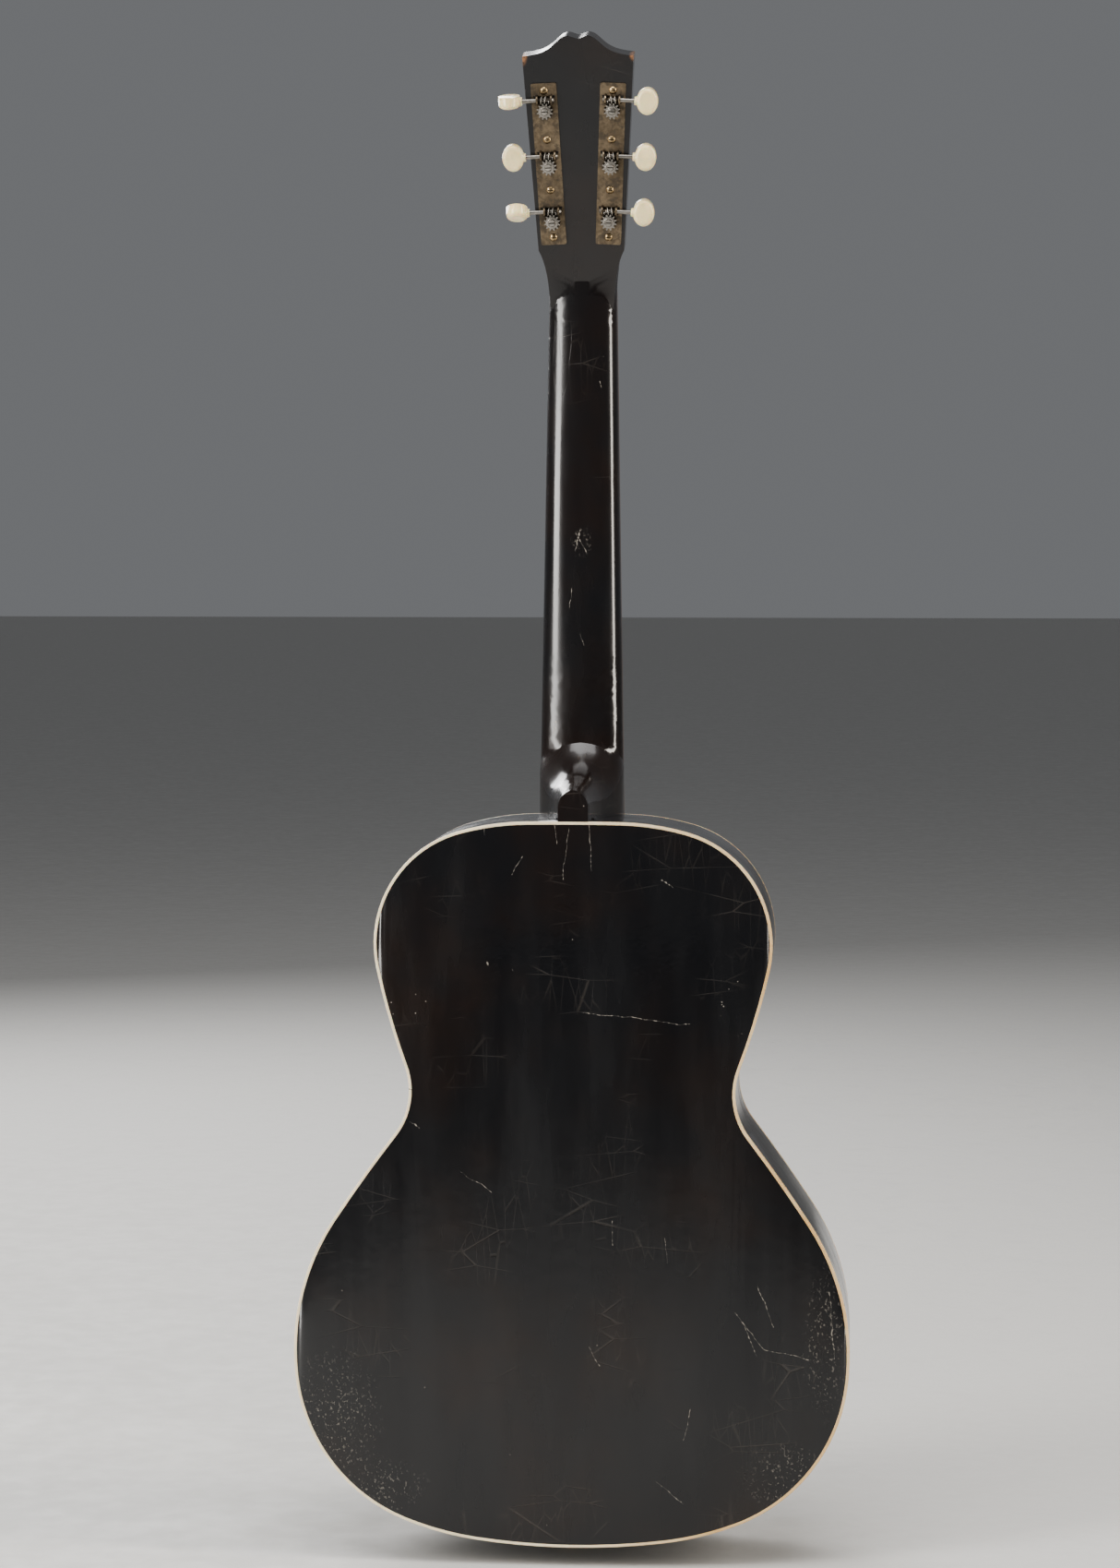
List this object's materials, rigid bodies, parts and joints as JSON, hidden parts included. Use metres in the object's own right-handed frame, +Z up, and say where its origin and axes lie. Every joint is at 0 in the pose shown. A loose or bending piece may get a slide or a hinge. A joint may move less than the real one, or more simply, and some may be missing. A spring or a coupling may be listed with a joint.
{
  "type": "acoustic guitar",
  "caption": "Steel-string acoustic guitar with a hollow bound body, slotted-screw open tuners with worm drive, pinned bridge and bolted-down truss rod cover.",
  "frame": {"origin": "middle of the strap pin's head at the tail, on the pin's axis", "axes": "+Z up the neck, -Y out of the soundboard, +Y out of the back, +X to the treble side"},
  "size_m": [0.3514, 0.1186, 0.967],
  "materials": {
    "black_lacquer": "aged gloss black lacquer with fine crazing",
    "binding_cream": "yellowed celluloid",
    "inner_wood": "raw spruce and mahogany",
    "rosewood": "oiled, open grain",
    "bone": "polished bone",
    "fret_wire": "polished crowns",
    "pearl": "pearl",
    "guard": "gloss black",
    "cream_plastic": "aged, slightly translucent",
    "aged_brass": "tarnished, mottled",
    "grey_steel": "worn plated steel",
    "nickel": "worn nickel",
    "plain_string": "bright plain steel",
    "wound_string": "bronze winding"
  },
  "bodies": {
    "guitar": {"back_binding": "binding_cream", "back_braces": "inner_wood", "back_plate": "black_lacquer", "bass_side": "black_lacquer", "bridge": "rosewood", "bridge_pins": "cream_plastic", "bridge_plate": "inner_wood", "end_pin": "cream_plastic", "fingerboard": "rosewood", "fret_markers": "pearl", "frets": "fret_wire", "headstock_screws": "nickel", "linings": "inner_wood", "neck": "black_lacquer", "neck_block": "inner_wood", "nut": "bone", "pickguard": "guard", "post_bushings": "nickel", "rosette": "binding_cream", "saddle": "bone", "soundboard": "black_lacquer", "soundboard_braces": "inner_wood", "string_1": "plain_string", "string_2": "plain_string", "string_3": "wound_string", "string_4": "wound_string", "string_5": "wound_string", "string_6": "wound_string", "tail_block": "inner_wood", "top_binding": "binding_cream", "treble_side": "black_lacquer", "truss_rod": "grey_steel", "truss_rod_cover": "guard", "tuner_plate_bass": "aged_brass", "tuner_plate_treble": "aged_brass", "x_braces": "inner_wood"},
    "button_1": {"tuner_button_1": "cream_plastic", "worm_shaft_1": "grey_steel"},
    "post_1": {"tuner_gear_1": "grey_steel", "string_post_1": "nickel"},
    "button_2": {"tuner_button_2": "cream_plastic", "worm_shaft_2": "grey_steel"},
    "post_2": {"tuner_gear_2": "grey_steel", "string_post_2": "nickel"},
    "button_3": {"tuner_button_3": "cream_plastic", "worm_shaft_3": "grey_steel"},
    "post_3": {"tuner_gear_3": "grey_steel", "string_post_3": "nickel"},
    "button_4": {"tuner_button_4": "cream_plastic", "worm_shaft_4": "grey_steel"},
    "post_4": {"tuner_gear_4": "grey_steel", "string_post_4": "nickel"},
    "button_5": {"tuner_button_5": "cream_plastic", "worm_shaft_5": "grey_steel"},
    "post_5": {"tuner_gear_5": "grey_steel", "string_post_5": "nickel"},
    "button_6": {"tuner_button_6": "cream_plastic", "worm_shaft_6": "grey_steel"},
    "post_6": {"tuner_gear_6": "grey_steel", "string_post_6": "nickel"}
  },
  "joints": [
    {"name": "tuner_1_turn", "type": "hinge", "parent": "guitar", "child": "button_1", "pos_m": [0.0184, -0.02107, 0.85201], "axis": [0.999, -0.0133, -0.0434], "continuous": true},
    {"name": "tuner_1_post", "type": "hinge", "parent": "guitar", "child": "post_1", "pos_m": [0.01809, -0.02634, 0.84641], "axis": [0, 0.9563, -0.2924], "continuous": true, "deforming": ["string_1"]},
    {"name": "tuner_2_turn", "type": "hinge", "parent": "guitar", "child": "button_2", "pos_m": [0.02001, -0.01071, 0.88592], "axis": [0.999, -0.0133, -0.0434], "continuous": true},
    {"name": "tuner_2_post", "type": "hinge", "parent": "guitar", "child": "post_2", "pos_m": [0.0197, -0.01597, 0.88033], "axis": [0, 0.9563, -0.2924], "continuous": true, "deforming": ["string_2"]},
    {"name": "tuner_3_turn", "type": "hinge", "parent": "guitar", "child": "button_3", "pos_m": [0.02162, -0.00034, 0.91984], "axis": [0.999, -0.0133, -0.0434], "continuous": true},
    {"name": "tuner_3_post", "type": "hinge", "parent": "guitar", "child": "post_3", "pos_m": [0.02131, -0.0056, 0.91424], "axis": [0, 0.9563, -0.2924], "continuous": true, "deforming": ["string_3"]},
    {"name": "tuner_4_turn", "type": "hinge", "parent": "guitar", "child": "button_4", "pos_m": [-0.02162, -0.00034, 0.91984], "axis": [-0.999, -0.0133, -0.0434], "continuous": true},
    {"name": "tuner_4_post", "type": "hinge", "parent": "guitar", "child": "post_4", "pos_m": [-0.02131, -0.0056, 0.91424], "axis": [0, 0.9563, -0.2924], "continuous": true, "deforming": ["string_4"]},
    {"name": "tuner_5_turn", "type": "hinge", "parent": "guitar", "child": "button_5", "pos_m": [-0.02001, -0.01071, 0.88592], "axis": [-0.999, -0.0133, -0.0434], "continuous": true},
    {"name": "tuner_5_post", "type": "hinge", "parent": "guitar", "child": "post_5", "pos_m": [-0.0197, -0.01597, 0.88033], "axis": [0, 0.9563, -0.2924], "continuous": true, "deforming": ["string_5"]},
    {"name": "tuner_6_turn", "type": "hinge", "parent": "guitar", "child": "button_6", "pos_m": [-0.0184, -0.02107, 0.85201], "axis": [-0.999, -0.0133, -0.0434], "continuous": true},
    {"name": "tuner_6_post", "type": "hinge", "parent": "guitar", "child": "post_6", "pos_m": [-0.01809, -0.02634, 0.84641], "axis": [0, 0.9563, -0.2924], "continuous": true, "deforming": ["string_6"]}
  ],
  "couplings": [
    {"joint": "tuner_1_post", "follows": "tuner_1_turn", "ratio": 0.083333},
    {"joint": "tuner_2_post", "follows": "tuner_2_turn", "ratio": 0.083333},
    {"joint": "tuner_3_post", "follows": "tuner_3_turn", "ratio": 0.083333},
    {"joint": "tuner_4_post", "follows": "tuner_4_turn", "ratio": 0.083333},
    {"joint": "tuner_5_post", "follows": "tuner_5_turn", "ratio": 0.083333},
    {"joint": "tuner_6_post", "follows": "tuner_6_turn", "ratio": 0.083333}
  ]
}
